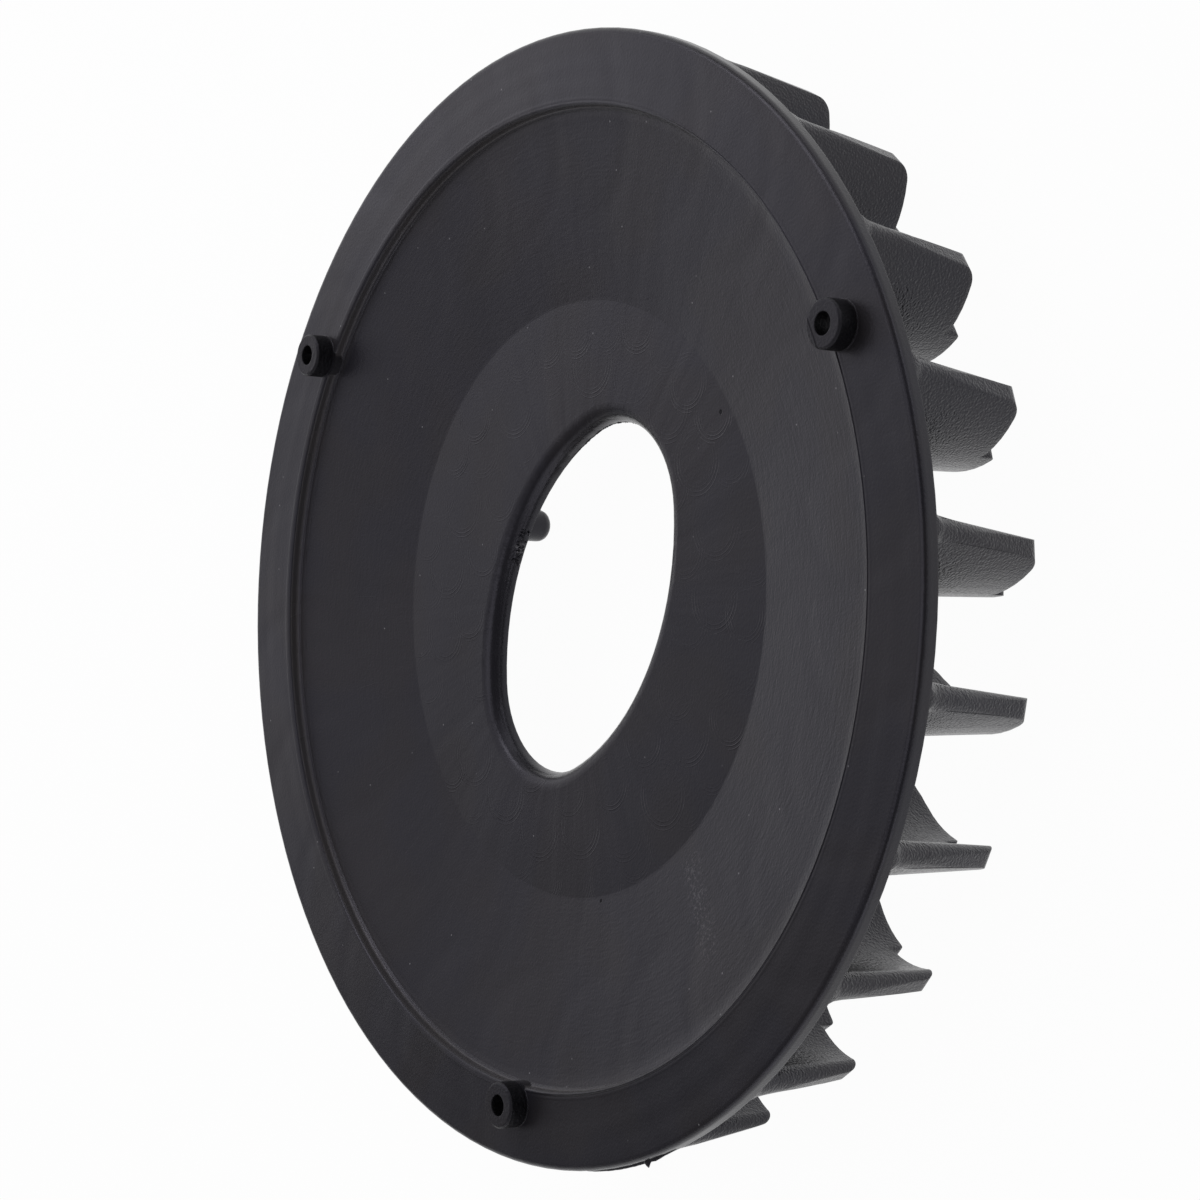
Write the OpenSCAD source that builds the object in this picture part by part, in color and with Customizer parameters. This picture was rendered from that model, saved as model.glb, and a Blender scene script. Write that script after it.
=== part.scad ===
// Cooling fan of a small engine's flywheel, moulded in one piece.
// It lies on the free edges of its blades, with the face that meets the flywheel on top.
// Millimetres, Z up, the fan's axis on Z, the blades' lowest edges on z = 0.

/* [Disc] */
// Outside diameter of the disc
disc_d = 176; // [168:1:190]
// Height of the raised ring's face above the lowest blade edges
ring_z = 27.2; // [25:0.1:32]
// Inside diameter of the raised ring on the back face
ring_d = 153.2; // [150:0.2:156]
// Thickness of the ring at the rim
rim_t = 2.4; // [2.2:0.1:3.2]
// Rounding of the rim's back edge
rim_round = 1; // [0.8:0.1:1.6]
// Step down from the ring to the dish
step_h = 1.8; // [1.2:0.1:2.4]
// Rounding at the top and the foot of the step
step_round = 0.5; // [0.3:0.1:0.6]
// Wall of the dish
web_t = 2.5; // [2:0.1:3]
// Slope of the dish, degrees
dish_slope = 10; // [8:0.5:11]
// Diameter of the flat floor in the middle
floor_d = 94; // [88:1:100]
// Thickness of the floor
floor_t = 3.1; // [3:0.1:4]

/* [Centre hole] */
// Length of the oval hole
hole_long = 59.2; // [56:0.2:62]
// Width of the oval hole
hole_short = 40.4; // [37:0.2:42]
// Angle of the oval's long axis from X
hole_turn = 61; // [0:1:180]
// Rounding of the hole's back edge
hole_round = 2.8; // [2:0.1:2.8]

/* [Bosses] */
// Number of tubular bosses
boss_count = 3; // [2:1:4]
// Circle on which the bosses stand
boss_pcd = 158; // [156:0.5:160]
// Outside diameter of a boss
boss_d = 7.2; // [6.8:0.1:8]
// Bore of a boss
boss_bore = 3.4; // [3:0.1:4]
// Height of a boss above the ring
boss_h = 3.3; // [2:0.1:6]
// Bevel round a boss's end
boss_bevel = 0.3; // [0.1:0.1:0.6]

/* [Pegs] */
// Diameter of a locating peg beside the hole
peg_d = 5.2; // [4:0.1:5.4]
// Length of a peg below the floor
peg_h = 5; // [3:0.1:8]
// Distance from the hole's long side to the middle of a peg
peg_inset = 3.4; // [3.2:0.1:5]
// Rounding of a peg's end
peg_round = 1.6; // [0.4:0.1:2]

/* [Blades] */
// Number of blades
blade_count = 24; // [18:1:24]
// Angle of the first blade's outer end from X
blade_turn = 9.2; // [0:0.1:15]
// Radius of the blades' outer ends where they leave the disc
tip_r = 86.6; // [84:0.1:87]
// Radius of the blades' curve, at the middle of the wall
curve_r = 15.7; // [14:0.1:18]
// Angle between a blade's outer end and the radial direction
tip_angle = 56; // [50:1:60]
// Angle through which a blade turns
blade_sweep = 130; // [120:1:140]
// Thickness of a blade at the disc
root_t = 4.1; // [3.2:0.1:4.4]
// Thickness of a blade at its free edge
edge_t = 2.9; // [2.4:0.1:3.2]
// How far the outer end leans in along the blade, from the disc to the free edge
tip_lean = 3.5; // [2:0.1:4]
// Height of the outer stretch of free edge above the lowest one
outer_rise = 2.5; // [1:0.1:3]
// Width of that outer stretch
outer_w = 11.4; // [10:0.1:13]
// Rounding of the outer corner
corner_round = 2; // [1:0.1:3.5]
// Rounding of the step in the free edge
notch_round = 0.8; // [0.4:0.1:1]
// Width of the blades from their outer ends to their inner ends, at the disc
blade_w = 28.4; // [26:0.2:30]
// How far the outer end flares out where it meets the disc
flare = 0.6; // [0.4:0.1:1.2]
// Height of that flare
flare_h = 5; // [2:0.5:7]
// Radius of the bend from the free edge to the inner end
inner_round = 6; // [4:0.5:8]

/* [Hidden] */
$fn = 96;
plastic = [0.13, 0.13, 0.14];
over = 1;
seam_t = 0.2;
seam_gap = 0.03;
rim_gap = 0.1;
disc_r = disc_d / 2;
ring_r = ring_d / 2;
floor_r = floor_d / 2;
// the back face, from the step's foot to the flat floor
dish_z = ring_z - step_h;
floor_z = dish_z - (ring_r - floor_r) * tan(dish_slope);
// the same slope seen as a vertical thickness of wall
web_v = web_t / cos(dish_slope);
// the underside meets the ring one wall inside the step
under_r = ring_r - 0.6;
// the centres of the oval's end arcs and side arcs make a triangle of 3, 4 and 5 times this
hole_unit = (hole_long - hole_short) / 4;
end_x = 3 * hole_unit;
side_y = 4 * hole_unit;
hole_end_r = hole_long / 2 - end_x;
side_r = hole_end_r + 5 * hole_unit;
// the blade's plan is an arc about this point, with its outer end on +X
curve_x = tip_r - curve_r * sin(tip_angle);
curve_y = curve_r * cos(tip_angle);
notch_r = tip_r - outer_w;
inner_r = tip_r - blade_w;
under_z = ring_z - rim_t;
taper = (root_t - edge_t) / 2 / under_z;
blade_top = under_z + rim_t / 2;

// Middle of the disc's wall at radius r, where the blades' roots end
function wall_z(r) = dish_z - (ring_r - r) * tan(dish_slope) - web_v / 2;

// A point on the blade's middle line, s along it from the outer end
function along(s) = let (a = tip_angle - s / curve_r * 180 / PI)
    [curve_x + curve_r * sin(a), curve_y - curve_r * cos(a)];

// Points on an arc about c, from one angle to another
function arc(c, r, from, to, steps = 4) = [for (i = [0 : steps])
    let (t = from + (to - from) * i / steps) [c[0] + r * cos(t), c[1] + r * sin(t)]];

// Half section of the disc
module disc_section() {
    foot = ring_r - step_round;
    polygon(concat(
        [[0, floor_z], [floor_r, floor_z], [foot - step_round, dish_z - 2 * step_round * tan(dish_slope)]],
        arc([foot - step_round, dish_z + step_round], step_round, -80, 0, 3),
        arc([foot + step_round, ring_z - step_round], step_round, 180, 90, 3),
        arc([disc_r - rim_round, ring_z - rim_round], rim_round, 90, 0, 5),
        [[disc_r, under_z], [ring_r + 1.2, under_z], [under_r - 1, wall_z(under_r - 1) - web_v / 2],
            [floor_r, floor_z - web_v], [floor_r - 3, floor_z - floor_t], [0, floor_z - floor_t]]
    ));
}

// Half section of the hole's cutter: a wall at radius r with the lip's rounding outside it
module hole_profile(r) {
    difference() {
        union() {
            translate([0, floor_z - floor_t - over]) square([r, floor_t + 2 * over]);
            translate([0, floor_z - hole_round]) square([r + hole_round, hole_round + over]);
        }
        translate([r + hole_round, floor_z - hole_round]) circle(r = hole_round);
    }
}

// The part of the plan that belongs to the end on +X; its edges run through the arcs' centres
module end_wedge() {
    translate([0, 0, floor_z - floor_t - 2 * over]) linear_extrude(height = floor_t + 4 * over)
        polygon([[end_x, 0], [4 * end_x, 3 * side_y], [4 * end_x, -3 * side_y]]);
}

// A thin slice across one seam, so that no film is left between the arcs
module seam_cut() {
    translate([end_x, 0, 0]) rotate([90, 0, atan2(side_y, end_x)])
        linear_extrude(height = seam_t, center = true) hole_profile(hole_end_r - seam_gap);
}

// The oval hole: four arcs that meet without a corner
module hole_cut() {
    rotate([0, 0, hole_turn]) {
        for (side = [0, 1]) mirror([side, 0, 0]) intersection() {
            translate([end_x, 0, 0]) rotate_extrude() hole_profile(hole_end_r);
            end_wedge();
        }
        difference() {
            intersection() {
                translate([0, side_y, 0]) rotate_extrude() hole_profile(side_r);
                translate([0, -side_y, 0]) rotate_extrude() hole_profile(side_r);
            }
            end_wedge();
            mirror([1, 0, 0]) end_wedge();
        }
        for (x = [0, 1], y = [0, 1]) mirror([x, 0, 0]) mirror([0, y, 0]) seam_cut();
    }
}

// A boss reaches down into the wall, on the step between ring and dish
module boss() {
    foot_z = dish_z - web_t / 2;
    end_z = ring_z + boss_h;
    translate([boss_pcd / 2, 0, 0]) rotate_extrude() polygon([
        [0, foot_z], [boss_d / 2, foot_z], [boss_d / 2, end_z - boss_bevel],
        [boss_d / 2 - boss_bevel, end_z], [0, end_z]
    ]);
}

module boss_bore_cut() {
    translate([boss_pcd / 2, 0, 0]) cylinder(d = boss_bore, h = ring_z + boss_h + over);
}

// A peg stands below the floor beside each long side of the hole
module peg() {
    peg_r = peg_d / 2;
    tip_z = floor_z - floor_t - peg_h;
    translate([0, hole_short / 2 + peg_inset, 0]) rotate_extrude() union() {
        translate([0, tip_z + peg_round]) square([peg_r, peg_h + floor_t / 2 - peg_round]);
        translate([0, tip_z]) square([peg_r - peg_round, peg_round]);
        intersection() {
            translate([peg_r - peg_round, tip_z + peg_round]) circle(r = peg_round);
            translate([0, tip_z]) square([peg_r, peg_round]);
        }
    }
}

// Half section of the space that the blades fill
module blade_section() {
    corner_r = tip_r - tip_lean * cos(tip_angle);
    bend = min(inner_round, (notch_r - notch_round - inner_r) / 2);
    lean_angle = atan2(disc_r - rim_gap - corner_r, blade_top - outer_rise);
    polygon(concat(
        [[inner_r, wall_z(inner_r)], [under_r - 1, wall_z(under_r - 1)], [ring_r + 1.2, blade_top],
            [disc_r - rim_gap, blade_top]],
        arc([corner_r - corner_round, outer_rise + corner_round], corner_round, -lean_angle, -90, 7),
        arc([notch_r + notch_round, outer_rise + notch_round], notch_round, -90, -180, 3),
        arc([notch_r - notch_round, notch_round], notch_round, 0, -90, 3),
        arc([inner_r + 1.5 * bend, bend], bend, -90, -160, 4)
    ));
}

// One blade's curved wall with a rounded outer end, before its edges are cut to the section
module blade_blank() {
    foot = along(tip_lean + edge_t / 2);
    head = along(root_t / 2);
    run = norm(head - foot);
    heading = atan2(head[1] - foot[1], head[0] - foot[0]);
    lean = atan2(run, under_z);
    length = under_z / cos(lean);
    union() {
        difference() {
            translate([curve_x, curve_y, 0]) rotate([0, 0, tip_angle - 90 - blade_sweep])
                rotate_extrude(angle = blade_sweep) polygon([
                    [curve_r - edge_t / 2, 0], [curve_r + edge_t / 2, 0],
                    [curve_r + edge_t / 2 + taper * blade_top, blade_top],
                    [curve_r - edge_t / 2 - taper * blade_top, blade_top]
                ]);
            translate([foot[0], foot[1], 0]) rotate([0, lean, heading])
                translate([0, -curve_r, -ring_z]) cube([curve_r, 2 * curve_r, 3 * ring_z]);
        }
        translate([foot[0], foot[1], 0]) rotate([0, lean, heading]) rotate_extrude() polygon([
            [0, 0], [edge_t / 2, 0], [edge_t / 2 + taper * (length - flare_h), length - flare_h],
            [root_t / 2 - taper * flare_h / 3 + flare / 4, length - flare_h / 3],
            [root_t / 2 + flare, length], [root_t / 2 + flare, length + rim_t / 2], [0, length + rim_t / 2]
        ]);
    }
}

module blades() {
    intersection() {
        union() for (k = [0 : blade_count - 1])
            rotate([0, 0, blade_turn + k * 360 / blade_count]) blade_blank();
        rotate_extrude() blade_section();
    }
}

module back_plate() {
    difference() {
        union() {
            rotate_extrude() disc_section();
            for (k = [0 : boss_count - 1]) rotate([0, 0, 90 + k * 360 / boss_count]) boss();
            for (side = [0, 180]) rotate([0, 0, hole_turn + side]) peg();
        }
        hole_cut();
        for (k = [0 : boss_count - 1]) rotate([0, 0, 90 + k * 360 / boss_count]) boss_bore_cut();
    }
}

module flywheel_fan() {
    color(plastic) union() {
        back_plate();
        blades();
    }
}

flywheel_fan();
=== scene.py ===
"""A moulded cooling fan for an engine's flywheel, lying on its blades' edges and seen from above."""
import bpy
import math
import random
from mathutils import Matrix, Vector


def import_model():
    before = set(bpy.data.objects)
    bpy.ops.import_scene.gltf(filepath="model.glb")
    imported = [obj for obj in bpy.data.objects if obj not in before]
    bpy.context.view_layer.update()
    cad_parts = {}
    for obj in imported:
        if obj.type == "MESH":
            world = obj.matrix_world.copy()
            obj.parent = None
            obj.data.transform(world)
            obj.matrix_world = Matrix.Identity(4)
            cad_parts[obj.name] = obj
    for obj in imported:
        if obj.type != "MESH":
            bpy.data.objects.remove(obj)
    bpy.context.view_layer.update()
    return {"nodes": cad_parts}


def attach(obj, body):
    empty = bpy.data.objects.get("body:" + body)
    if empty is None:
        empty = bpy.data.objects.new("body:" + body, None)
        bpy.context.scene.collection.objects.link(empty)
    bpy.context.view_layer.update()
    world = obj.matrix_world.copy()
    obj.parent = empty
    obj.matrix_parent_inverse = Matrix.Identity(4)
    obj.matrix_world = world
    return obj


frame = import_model()
fan = frame["nodes"]["flywheel_fan"]

# The part's sizes in millimetres, as its source has them
MM = 0.001
RING_FACE = 27.2
RING_R = 76.6
STEP = 1.8
FLOOR_R = 47.0
FLOOR_Z = RING_FACE - STEP - (RING_R - FLOOR_R) * math.tan(math.radians(10))
FLOOR_T = 3.1
FLOOR_BACK = FLOOR_Z - FLOOR_T
DISC_R = 88.0
UNDER_Z = RING_FACE - 2.4
BOSS_R = 79.0
BOSSES = 3
HOLE_TURN = 61
HOLE_LONG = 59.2
OVAL = 4.7              # the oval's arcs have their centres on triangles of 3, 4 and 5 times this
BLADES = 24
BLADE_TURN = math.radians(9.2)
TIP_R, CURVE_R, TIP_ANGLE = 86.6, 15.7, math.radians(56)
CURVE_X, CURVE_Y = TIP_R - CURVE_R * math.sin(TIP_ANGLE), CURVE_R * math.cos(TIP_ANGLE)
BLADE_FOOT = 2.7        # the outer stretch of a blade's free edge is at about this height

# Colours
DARK_COOL = (0.0148, 0.0142, 0.0172, 1)
DARK_WARM = (0.0162, 0.0148, 0.0158, 1)
# a lighter brownish tone painted on the step's wall, as painted light and painted reflection
STEP_PAINTED_LIGHT = (0.052, 0.049, 0.047)
TINT = (0.89, 0.88, 1.0, 1)
LIGHT = (0.965, 0.945, 1.0)
WHITE = (1, 1, 1, 1)
CARD = (0.85, 0.85, 0.85, 1)


class Shader:
    """Builds one material's nodes."""

    def __init__(self, name):
        self.mat = bpy.data.materials.new(name)
        self.mat.use_nodes = True
        self.tree = self.mat.node_tree
        self.tree.nodes.clear()
        self.out = self.add("ShaderNodeOutputMaterial")

    def add(self, kind, **props):
        n = self.tree.nodes.new(kind)
        for k, v in props.items():
            setattr(n, k, v)
        return n

    def put(self, socket, value):
        if isinstance(value, bpy.types.NodeSocket):
            self.tree.links.new(value, socket)
        else:
            socket.default_value = value

    def math(self, op, a, b=0.0, clamp=False):
        n = self.add("ShaderNodeMath", operation=op, use_clamp=clamp)
        for s, v in zip(n.inputs, (a, b)):
            self.put(s, v)
        return n.outputs[0]

    def mul(self, first, *others):
        for other in others:
            first = self.math("MULTIPLY", first, other)
        return first

    def plus(self, first, *others):
        for other in others:
            first = self.math("ADD", first, other)
        return first

    def minus(self, a, b):
        return self.math("SUBTRACT", a, b)

    def length(self, a, b):
        return self.math("SQRT", self.plus(self.mul(a, a), self.mul(b, b)))

    def vmath(self, op, a, b=(0, 0, 0), scale=1.0, out=0):
        n = self.add("ShaderNodeVectorMath", operation=op)
        self.put(n.inputs[0], a)
        self.put(n.inputs[1], b)
        if op == "SCALE":
            self.put(n.inputs[3], scale)
        return n.outputs[out]

    def noise(self, vec, scale, detail=2.0, rough=0.5):
        n = self.add("ShaderNodeTexNoise")
        self.put(n.inputs["Vector"], vec)
        self.put(n.inputs["Scale"], scale)
        self.put(n.inputs["Detail"], detail)
        self.put(n.inputs["Roughness"], rough)
        return n.outputs[0]

    def ramp(self, value, lo, hi, to_lo=0.0, to_hi=1.0, smooth=True):
        n = self.add("ShaderNodeMapRange", interpolation_type="SMOOTHSTEP" if smooth else "LINEAR")
        for s, v in zip(n.inputs, (value, lo, hi, to_lo, to_hi)):
            self.put(s, v)
        return n.outputs[0]

    def fall(self, value, lo, hi):
        """1 below lo, 0 above hi."""
        return self.ramp(value, lo, hi, 1.0, 0.0)

    def xyz(self, vec):
        n = self.add("ShaderNodeSeparateXYZ")
        self.put(n.inputs[0], vec)
        return n.outputs

    def join(self, x, y, z):
        n = self.add("ShaderNodeCombineXYZ")
        for s, v in zip(n.inputs, (x, y, z)):
            self.put(s, v)
        return n.outputs[0]

    def spot(self, mm, place, size, soft=0.4):
        """1 at a place, 0 beyond a radius, in millimetres."""
        d = self.vmath("LENGTH", self.vmath("SUBTRACT", mm, place), out=1)
        return self.fall(d, size * (1 - soft), size)


def rings(s, r, turn, y, at_r, count, phase, reach, pitch):
    """Heights of nested arcs round points spread evenly on a circle, like a cutter's marks."""
    cell = s.plus(s.mul(turn, count / math.tau), phase)
    number = s.math("ROUND", cell)
    dice = s.add("ShaderNodeTexWhiteNoise", noise_dimensions="1D")
    s.put(dice.inputs["W"], s.plus(s.math("FLOORED_MODULO", number, count), phase * 17.3))
    chance = s.xyz(dice.outputs["Color"])
    centre_r = s.ramp(chance[0], 0.0, 1.0, at_r - 1.6, at_r + 1.6, False)
    off = s.mul(s.minus(cell, number), math.tau / count)
    near = s.mul(r, s.mul(centre_r, 2.0), s.math("COSINE", off))
    far = s.plus(s.mul(r, r), s.mul(centre_r, centre_r))
    d = s.math("SQRT", s.math("MAXIMUM", s.minus(far, near), 0.0))
    wave = s.math("SINE", s.mul(d, math.tau / pitch))
    line = s.math("POWER", s.math("MAXIMUM", wave, 0.0), 2.0)
    # the side away from the cutter's start is fainter
    angle = s.mul(s.minus(number, phase), math.tau / count)
    below = s.minus(y, s.mul(centre_r, s.math("SINE", angle)))
    side = s.ramp(s.math("DIVIDE", below, s.math("MAXIMUM", d, 0.1)), -0.35, 0.45, 0.25, 1.0)
    inside = s.mul(s.ramp(d, reach - 2.4, reach - 0.6), s.fall(d, reach - 0.05, reach + 0.05))
    strong = s.ramp(chance[1], 0.2, 0.9, 0.35, 1.0)
    return s.mul(line, side, s.mul(inside, strong))


def wall_point(direction, into, z):
    """A point beside the hole's wall, by the direction in which the wall faces, in degrees."""
    d = direction % 360
    a = math.radians(d)
    seam = math.degrees(math.atan2(4, 3))
    if seam < d < 180 - seam:
        cx, cy, radius = 0, -4 * OVAL, HOLE_LONG / 2 + 2 * OVAL
    elif 180 + seam < d < 360 - seam:
        cx, cy, radius = 0, 4 * OVAL, HOLE_LONG / 2 + 2 * OVAL
    else:
        cx, cy, radius = (3 if math.cos(a) > 0 else -3) * OVAL, 0, HOLE_LONG / 2 - 3 * OVAL
    x, y = cx + (radius - into) * math.cos(a), cy + (radius - into) * math.sin(a)
    turn = math.radians(HOLE_TURN)
    return (math.cos(turn) * x - math.sin(turn) * y, math.sin(turn) * x + math.cos(turn) * y, z)


def plastic():
    """The fan's dark satin plastic, with its mould's marks, grain, dust and wear, painted light on the
    step's wall and painted shade on the bosses' sides.
    """
    s = Shader("fan_plastic")
    coords = s.add("ShaderNodeTexCoord").outputs
    mm = s.vmath("SCALE", coords["Object"], scale=1000.0)
    x, y, z = s.xyz(mm)
    up = s.xyz(coords["Normal"])[2]
    r = s.length(x, y)
    turn = s.math("ARCTAN2", y, x)

    # where things are: the faces that look up, the others, and the parts of the back
    back = s.ramp(up, 0.5, 0.9)
    front = s.minus(1.0, back)
    in_floor = s.fall(r, FLOOR_R - 0.3, FLOOR_R)
    in_ring = s.ramp(r, RING_R - 0.2, RING_R + 0.2)
    zone = s.mul(back, in_floor)
    ring = s.mul(back, in_ring)
    dish = s.mul(back, s.minus(1.0, s.math("ADD", in_floor, in_ring, clamp=True)))
    under = s.fall(z, UNDER_Z - 0.6, UNDER_Z - 0.1)
    grained = s.mul(front, s.ramp(r, 45.0, 50.0), under)

    # the floor round the hole keeps the arcs of the cutter that made its mould
    arcs = s.plus(
        rings(s, r, turn, y, at_r=43.5, count=34.0, phase=0.1, reach=4.6, pitch=0.55),
        rings(s, r, turn, y, at_r=36.5, count=21.0, phase=0.37, reach=5.4, pitch=0.65),
        rings(s, r, turn, y, at_r=29.0, count=17.0, phase=0.71, reach=4.9, pitch=0.6),
    )

    # sinks over the roots of the blades
    pitch = math.tau / BLADES
    first = s.minus(turn, BLADE_TURN)
    share = s.mul(s.math("ROUND", s.math("DIVIDE", first, pitch)), pitch)
    local = s.minus(first, share)
    lx = s.minus(s.mul(r, s.math("COSINE", local)), CURVE_X)
    ly = s.minus(s.mul(r, s.math("SINE", local)), CURVE_Y)
    beside = s.math("ABSOLUTE", s.minus(s.length(lx, ly), CURVE_R))
    sink = s.mul(s.fall(beside, 0.0, 3.4), back, s.ramp(r, 54.0, 62.0))

    # the melt's flow from the middle outward, and round the ring
    cos, sin = s.math("DIVIDE", x, r), s.math("DIVIDE", y, r)
    flow_at = s.join(s.mul(cos, 9.0), s.mul(sin, 9.0), s.plus(s.mul(r, 0.035), s.mul(z, 0.05)))
    flow = s.noise(flow_at, 1.0, 2.0, 0.55)
    arcs = s.mul(arcs, zone, s.ramp(flow, 0.4, 0.55, 0.4, 1.0))
    band = s.noise(s.join(s.mul(cos, 2.0), s.mul(sin, 2.0), s.mul(r, 0.35)), 1.0, 0.0)
    drawn = s.noise(s.join(s.mul(cos, 22.0), s.mul(sin, 22.0), s.mul(r, 1.6)), 1.0, 1.0, 0.6)

    # the ring has a faint raised line along its inner edge
    lip = s.mul(ring, s.fall(s.math("ABSOLUTE", s.minus(r, RING_R + 0.5)), 0.0, 0.4))

    # on one side the dish turns up a little before it meets the step
    upturn = s.mul(dish, s.math("POWER", s.ramp(r, RING_R - 5.0, RING_R), 2.0), s.fall(x, -50.0, 20.0))

    fine = s.noise(mm, 2.7, 0.0)
    pebble = s.noise(mm, 2.4, 1.0, 0.6)
    broad = s.noise(mm, 0.045, 1.0, 0.5)

    # a pale scuff on the dish, measured along and across its length
    scuff_x, scuff_y = s.minus(x, -32.7), s.minus(y, 37.6)
    along = s.plus(s.mul(scuff_x, -0.59), s.mul(scuff_y, 0.807))
    across = s.math("ABSOLUTE", s.plus(s.mul(scuff_x, 0.807), s.mul(scuff_y, 0.59)))
    patch = s.mul(s.fall(across, 1.0, 3.6), s.ramp(along, -2.0, 1.0), s.fall(along, 13.0, 19.0))
    scuff = s.mul(patch, back, s.ramp(s.noise(mm, 1.8, 2.0, 0.75), 0.52, 0.64))

    # two dark pits
    pit_a = s.spot(mm, (-34.3, -28.7, FLOOR_Z), 0.42)
    pit_b = s.spot(mm, (-10.6, 46.3, FLOOR_Z + 0.05), 0.36)
    pits = s.math("MAXIMUM", pit_a, pit_b)

    # grains of dust on the back
    seeds = s.add("ShaderNodeTexVoronoi", voronoi_dimensions="2D")
    s.put(seeds.inputs["Vector"], mm)
    s.put(seeds.inputs["Scale"], 0.11)
    lucky = s.mul(back, s.ramp(s.xyz(seeds.outputs["Color"])[0], 0.7, 0.9))
    dust = s.mul(s.fall(seeds.outputs["Distance"], 0.011, 0.019), lucky)

    # painted light: the step's wall is painted a lighter, brownish tone that stands in for the light and
    # brownish reflection it catches, less at its foot
    on_wall = s.mul(s.ramp(r, RING_R - 2.4, RING_R - 1.6), s.fall(r, RING_R - 0.25, RING_R))
    less = s.ramp(r, RING_R - 0.8, RING_R - 0.6, 0.2, 1.0)
    low = s.fall(z, RING_FACE - 0.45, RING_FACE - 0.2)
    foot = s.mul(on_wall, less, low, s.ramp(z, RING_FACE - 2.5, RING_FACE - 2.3))

    # the torn gate is whitened
    gate = s.spot(mm, wall_point(273.5, 0.0, FLOOR_BACK + 0.8), 1.5, 0.6)
    torn = s.mul(gate, s.ramp(s.noise(mm, 1.7, 1.0), 0.5, 0.6))

    # bosses are rougher than the ring and a little darker; their sides are painted darker still, as
    # painted shade
    third = math.tau / BOSSES
    to_boss = s.math("MODULO", s.plus(turn, 4 * third - math.pi / 2 + third / 2), third)
    to_boss = s.minus(to_boss, third / 2)
    bx = s.minus(s.mul(r, s.math("COSINE", to_boss)), BOSS_R)
    by = s.mul(r, s.math("SINE", to_boss))
    on_boss = s.fall(s.plus(s.mul(bx, bx), s.mul(by, by)), 14.5, 15.5)
    boss = s.mul(on_boss, s.ramp(z, RING_FACE + 0.1, RING_FACE + 0.6))

    # relief, in millimetres
    coarse = s.plus(s.mul(s.plus(grained, boss), 0.6), s.mul(s.plus(dish, s.mul(zone, 0.4)), 0.2))
    height = s.plus(
        s.mul(fine, 0.018), s.mul(arcs, 0.03), s.mul(sink, -0.04), s.mul(upturn, 0.38),
        s.mul(lip, 0.02), s.mul(pits, -0.12),
        s.mul(flow, 0.1, back), s.mul(band, 0.09, ring), s.mul(drawn, 0.035, dish),
        s.mul(pebble, 0.12, coarse), s.mul(fine, 0.075, grained), s.mul(broad, 0.25, back),
    )
    bump = s.add("ShaderNodeBump")
    bump.inputs["Strength"].default_value = 1.0
    bump.inputs["Distance"].default_value = MM
    s.put(bump.inputs["Height"], height)
    soft = s.add("ShaderNodeBevel", samples=4)
    s.put(soft.inputs["Radius"], s.plus(0.3 * MM, s.mul(grained, 0.7 * MM)))
    s.put(bump.inputs["Normal"], soft.outputs[0])

    # colour
    tone = s.plus(s.mul(broad, 0.6), s.mul(flow, 0.4))
    tone = s.ramp(tone, 0.35, 0.65, 0.88, 1.12, False)
    # painted shade: the bosses' sides are darkened in colour beyond their ends
    tone = s.mul(tone, s.minus(1.0, s.mul(boss, s.plus(0.3, s.mul(front, 0.65)))))
    tone = s.mul(tone, s.minus(1.0, s.mul(pits, 0.9)))
    shade = s.add("ShaderNodeMix", data_type="RGBA")
    s.put(shade.inputs["Factor"], s.ramp(s.noise(mm, 0.07, 0.0), 0.4, 0.6))
    shade.inputs["A"].default_value = DARK_COOL
    shade.inputs["B"].default_value = DARK_WARM
    colour = s.vmath("SCALE", shade.outputs["Result"], scale=tone)
    pale = s.plus(s.mul(scuff, 0.05), s.mul(dust, 0.16), s.mul(torn, 0.16))
    colour = s.vmath("ADD", colour, s.join(pale, pale, pale))
    # painted light and painted brownish reflection on the step's wall
    colour = s.vmath("ADD", colour, s.vmath("SCALE", STEP_PAINTED_LIGHT, scale=foot))

    # gloss
    rough = s.ramp(flow, 0.3, 0.7, 0.31, 0.37, False)
    rough = s.plus(rough, s.mul(boss, 0.2), s.mul(pits, 0.45))
    rough = s.minus(rough, s.mul(front, 0.08))

    bsdf = s.add("ShaderNodeBsdfPrincipled")
    s.put(bsdf.inputs["Base Color"], colour)
    s.put(bsdf.inputs["Roughness"], rough)
    bsdf.inputs["Specular IOR Level"].default_value = 0.375
    bsdf.inputs["Specular Tint"].default_value = TINT
    s.put(bsdf.inputs["Normal"], bump.outputs[0])
    s.put(s.out.inputs[0], bsdf.outputs[0])
    return s.mat


SKIN = plastic()
for slot in fan.material_slots:
    slot.material = SKIN


def piece(name, points, faces):
    """A closed bit of the same plastic, in millimetres, that rides on the fan."""
    mesh = bpy.data.meshes.new(name)
    mesh.from_pydata([[c * MM for c in p] for p in points], [], faces)
    mesh.validate()
    obj = bpy.data.objects.new(name, mesh)
    bpy.context.scene.collection.objects.link(obj)
    mesh.materials.append(SKIN)
    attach(obj, "root")


def polar(r, angle, z):
    return (r * math.cos(angle), r * math.sin(angle), z)


def band_faces(steps, outward):
    """The sides between sections of four points each, one section after another."""
    faces = []
    for i in range(steps):
        a = 4 * i
        for k in range(4):
            n = (k + 1) % 4
            if outward:
                faces.append((a + k, a + n, a + 4 + n, a + 4 + k))
            else:
                faces.append((a + k, a + 4 + k, a + 4 + n, a + n))
    return faces


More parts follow.
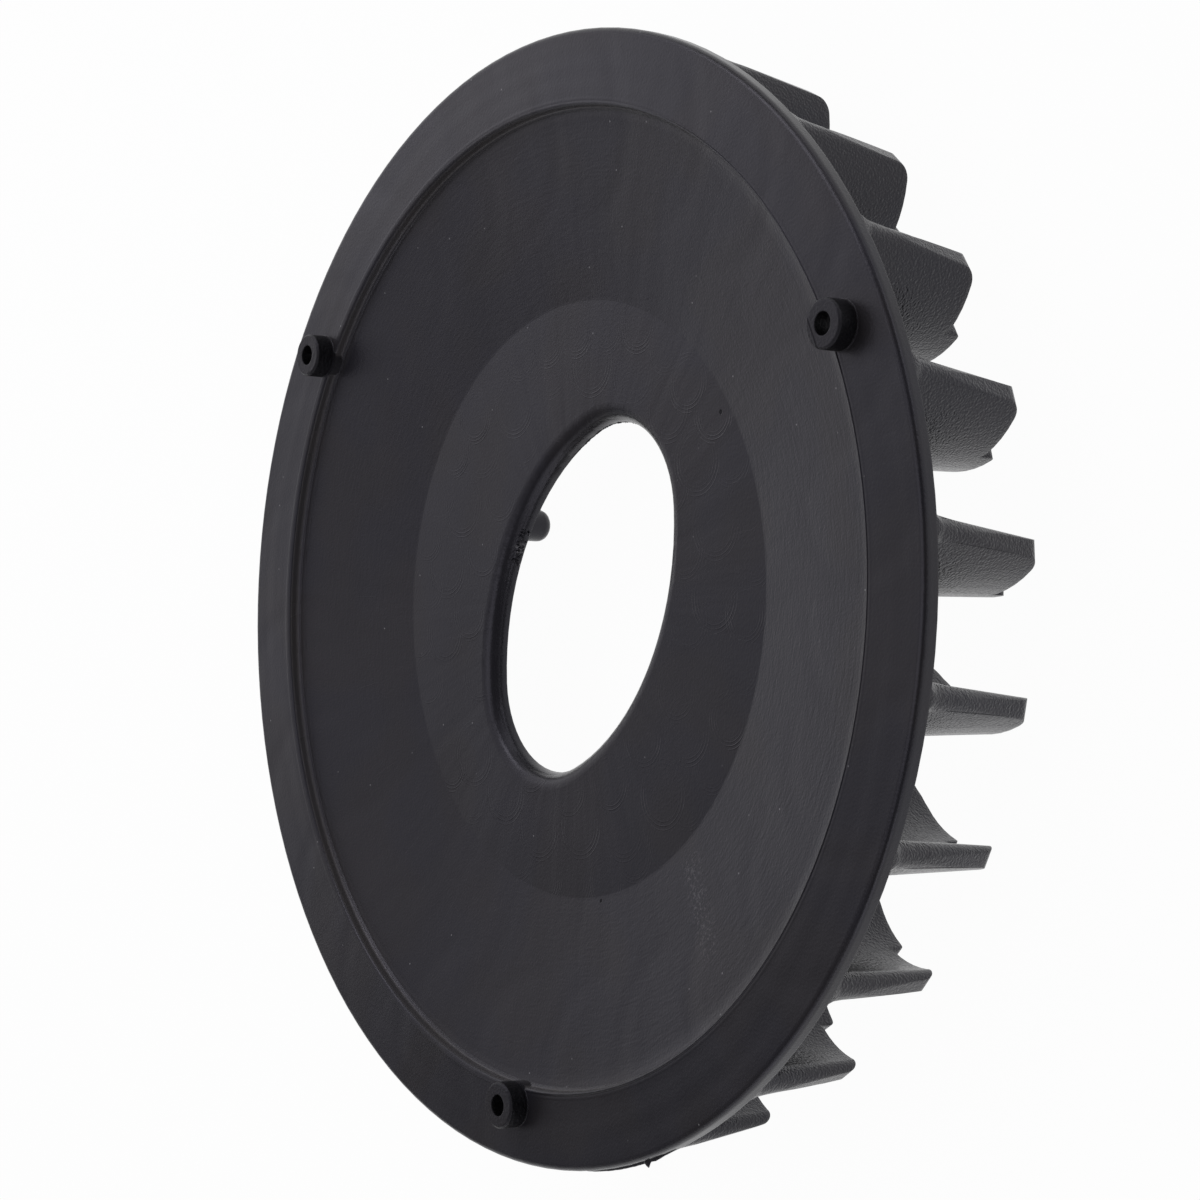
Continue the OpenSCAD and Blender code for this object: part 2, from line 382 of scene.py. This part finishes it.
def rim_flash():
    """A thin torn web of flash below the rounding of the rim, with one nib."""
    start, stop, steps = math.radians(101), math.radians(116), 60
    rnd = random.Random(4)
    points = []
    for i in range(steps + 1):
        u = i / steps
        angle = start + (stop - start) * u
        deg = math.degrees(angle)
        out = DISC_R + (0.28 + 0.05 * rnd.random()) * math.sin(math.pi * u) ** 0.6
        out += 0.85 * max(0.0, 1 - abs(deg - 111.2) / 0.45) + 0.2 * max(0.0, 1 - abs(deg - 112.6) / 1.4)
        for r, rise in ((DISC_R - 0.3, 0.75), (out, 0.55), (out, 0.43), (DISC_R - 0.3, 0.3)):
            points.append(polar(r, angle, UNDER_Z + rise))
    ends = [(3, 2, 1, 0), tuple(4 * steps + k for k in range(4))]
    piece("rim_flash", points, band_faces(steps, True) + ends)


def gate_scar():
    """Torn lumps where the gate was broken off the wall of the hole, beside the peg."""
    rnd = random.Random(11)
    corners = ((1, 0, 0), (-1, 0, 0), (0, 1, 0), (0, -1, 0), (0, 0, 1), (0, 0, -1))
    sides = ((0, 2, 4), (2, 1, 4), (1, 3, 4), (3, 0, 4), (2, 0, 5), (1, 2, 5), (3, 1, 5), (0, 3, 5))
    points, faces = [], []
    for i in range(34):
        facing, into, rise = 270 + rnd.uniform(-1.0, 8.0), rnd.uniform(-0.2, 0.15), rnd.uniform(0.1, 1.6)
        cx, cy, z = wall_point(facing, into, FLOOR_BACK + rise)
        size = rnd.uniform(0.18, 0.42)
        base = len(points)
        for dx, dy, dz in corners:
            k = size * rnd.uniform(0.6, 1.3)
            points.append((cx + dx * k, cy + dy * k, z + dz * k))
        faces += [tuple(base + k for k in f) for f in sides]
    piece("gate_scar", points, faces)


def hole_flash():
    """Ragged flash along the lower edge of the hole's wall."""
    rnd = random.Random(7)
    points, steps = [], 110
    for i in range(steps + 1):
        u = i / steps
        d = 176 + 74 * u
        out = 0.02 + (0.05 + 0.14 * rnd.random() ** 2) * math.sin(math.pi * u) ** 0.5
        drop = rnd.uniform(-0.05, 0.12)
        for into, rise in ((-0.2, 0.34), (out, 0.14 + drop), (out, 0.04 + drop), (-0.2, 0.05)):
            points.append(wall_point(d, into, FLOOR_BACK + rise))
    ends = [(0, 1, 2, 3), tuple(4 * steps + 3 - k for k in range(4))]
    piece("hole_flash", points, band_faces(steps, False) + ends)


def blade_nibs():
    """A small nib on every blade's outer stretch of free edge."""
    foot = ((-0.7, -0.6, 0), (0.7, -0.6, 0), (0.7, 0.6, 0), (-0.7, 0.6, 0))
    nib = foot + ((0.2, 0.42, -0.42), (-0.2, 0.32, -0.4))
    sides = ((0, 3, 2, 1), (0, 1, 4, 5), (1, 2, 4), (2, 3, 5, 4), (3, 0, 5))
    a = TIP_ANGLE - 8.4 / CURVE_R
    x, y = CURVE_X + (CURVE_R + 0.75) * math.sin(a), CURVE_Y - (CURVE_R + 0.75) * math.cos(a)
    points, faces = [], []
    for k in range(BLADES):
        turn = BLADE_TURN + k * math.tau / BLADES
        cx, cy = math.cos(turn) * x - math.sin(turn) * y, math.sin(turn) * x + math.cos(turn) * y
        way = a + turn
        base = len(points)
        for along, across, drop in nib:
            px = cx + along * math.cos(way) + across * math.sin(way)
            py = cy + along * math.sin(way) - across * math.cos(way)
            points.append((px, py, BLADE_FOOT + drop))
        faces += [tuple(base + i for i in f) for f in sides]
    piece("blade_nibs", points, faces)


rim_flash()
gate_scar()
hole_flash()
blade_nibs()


def floor():
    """A white floor: plain card to the lamps, white to the camera and in reflections."""
    mesh = bpy.data.meshes.new("floor")
    h = 3.0
    mesh.from_pydata([(-h, -h, 0), (h, -h, 0), (h, h, 0), (-h, h, 0)], [], [(0, 1, 2, 3)])
    obj = bpy.data.objects.new("floor", mesh)
    bpy.context.scene.collection.objects.link(obj)
    s = Shader("floor_white")
    rays = s.add("ShaderNodeLightPath").outputs
    seen = s.math("MAXIMUM", rays["Is Glossy Ray"], rays["Is Transmission Ray"])
    seen = s.math("MAXIMUM", rays["Is Camera Ray"], seen)
    card = s.add("ShaderNodeBsdfDiffuse")
    card.inputs[0].default_value = CARD
    white = s.add("ShaderNodeEmission")
    white.inputs[0].default_value = WHITE
    mix = s.add("ShaderNodeMixShader")
    s.put(mix.inputs[0], s.mul(seen, 0.97))
    s.put(mix.inputs[1], card.outputs[0])
    s.put(mix.inputs[2], white.outputs[0])
    s.put(s.out.inputs[0], mix.outputs[0])
    mesh.materials.append(s.mat)


def world():
    """Dim light from all round, and a white backdrop for the camera; reflections see it low down."""
    w = bpy.data.worlds.new("studio")
    bpy.context.scene.world = w
    w.use_nodes = True
    t = w.node_tree
    t.nodes.clear()

    def node(kind, *values, **props):
        n = t.nodes.new(kind)
        for k, v in props.items():
            setattr(n, k, v)
        for s, v in zip(n.inputs, values):
            if isinstance(v, bpy.types.NodeSocket):
                t.links.new(v, s)
            elif v is not None:
                s.default_value = v
        return n.outputs

    rays = node("ShaderNodeLightPath")
    ambient = node("ShaderNodeBackground", (*LIGHT, 1), 0.18)[0]
    white = node("ShaderNodeBackground", WHITE)[0]
    way = node("ShaderNodeSeparateXYZ", node("ShaderNodeTexCoord")["Generated"])
    low = node("ShaderNodeMapRange", way[2], 0.12, 0.3, 1.0, 0.0)[0]
    glossy, clear = rays["Is Glossy Ray"], rays["Is Transmission Ray"]
    bounced = node("ShaderNodeMath", glossy, clear, operation="MAXIMUM")[0]
    backdrop = node("ShaderNodeMath", bounced, low, operation="MULTIPLY")[0]
    seen = node("ShaderNodeMath", rays["Is Camera Ray"], backdrop, operation="MAXIMUM")[0]
    node("ShaderNodeOutputWorld", node("ShaderNodeMixShader", seen, ambient, white)[0])


def lamp(name, place, size, power):
    """A soft rectangular lamp that points at the fan."""
    aim = Vector((0, 0, 0.02))
    data = bpy.data.lights.new(name, "AREA")
    data.shape = "RECTANGLE"
    data.size, data.size_y = size
    data.energy = power
    data.color = LIGHT
    obj = bpy.data.objects.new(name, data)
    obj.location = place
    obj.rotation_mode = "QUATERNION"
    obj.rotation_quaternion = (aim - Vector(place)).to_track_quat("-Z", "Y")
    bpy.context.scene.collection.objects.link(obj)


def camera():
    """The photograph's camera, fitted to the outlines seen in it."""
    data = bpy.data.cameras.new("camera")
    data.sensor_width = 36.0
    data.lens = 88.73
    data.clip_start, data.clip_end = 0.02, 20
    obj = bpy.data.objects.new("camera", data)
    ahead = Vector((0.80513, 0.00859, -0.59304)).normalized()
    up = Vector((0.03503, -0.99884, 0.03309))
    right = ahead.cross(up).normalized()
    up = right.cross(ahead)
    turn = Matrix((right, up, -ahead)).transposed().to_4x4()
    obj.matrix_world = Matrix.Translation((-0.37571, -0.00392, RING_FACE * MM + 0.26492)) @ turn
    bpy.context.scene.collection.objects.link(obj)
    bpy.context.scene.camera = obj


floor()
world()
lamp("beyond_low", (0.999, -0.105, 0.307), (0.6, 0.6), 0.36)
lamp("beyond", (0.823, -0.086, 0.646), (0.6, 0.6), 0.35)
lamp("beyond_high", (0.418, -0.089, 0.959), (0.6, 0.6), 0.43)
lamp("top", (-0.073, 0.0, 1.047), (0.7, 0.7), 1.82)
lamp("upper", (-0.169, -0.959, 0.393), (0.6, 0.6), 0.65)
lamp("lower", (-0.174, 0.989, 0.307), (0.6, 0.6), 0.91)
lamp("back_low", (-0.733, 0.733, 0.164), (0.5, 0.25), 0.36)
lamp("back_up", (-0.733, -0.733, 0.164), (0.5, 0.25), 0.41)
lamp("near", (0.42, -0.3, 0.28), (0.4, 0.4), 0.33)
lamp("near_up", (0.15, -0.35, 0.4), (0.25, 0.25), 0.6)
camera()
bpy.context.scene.view_settings.view_transform = "Standard"
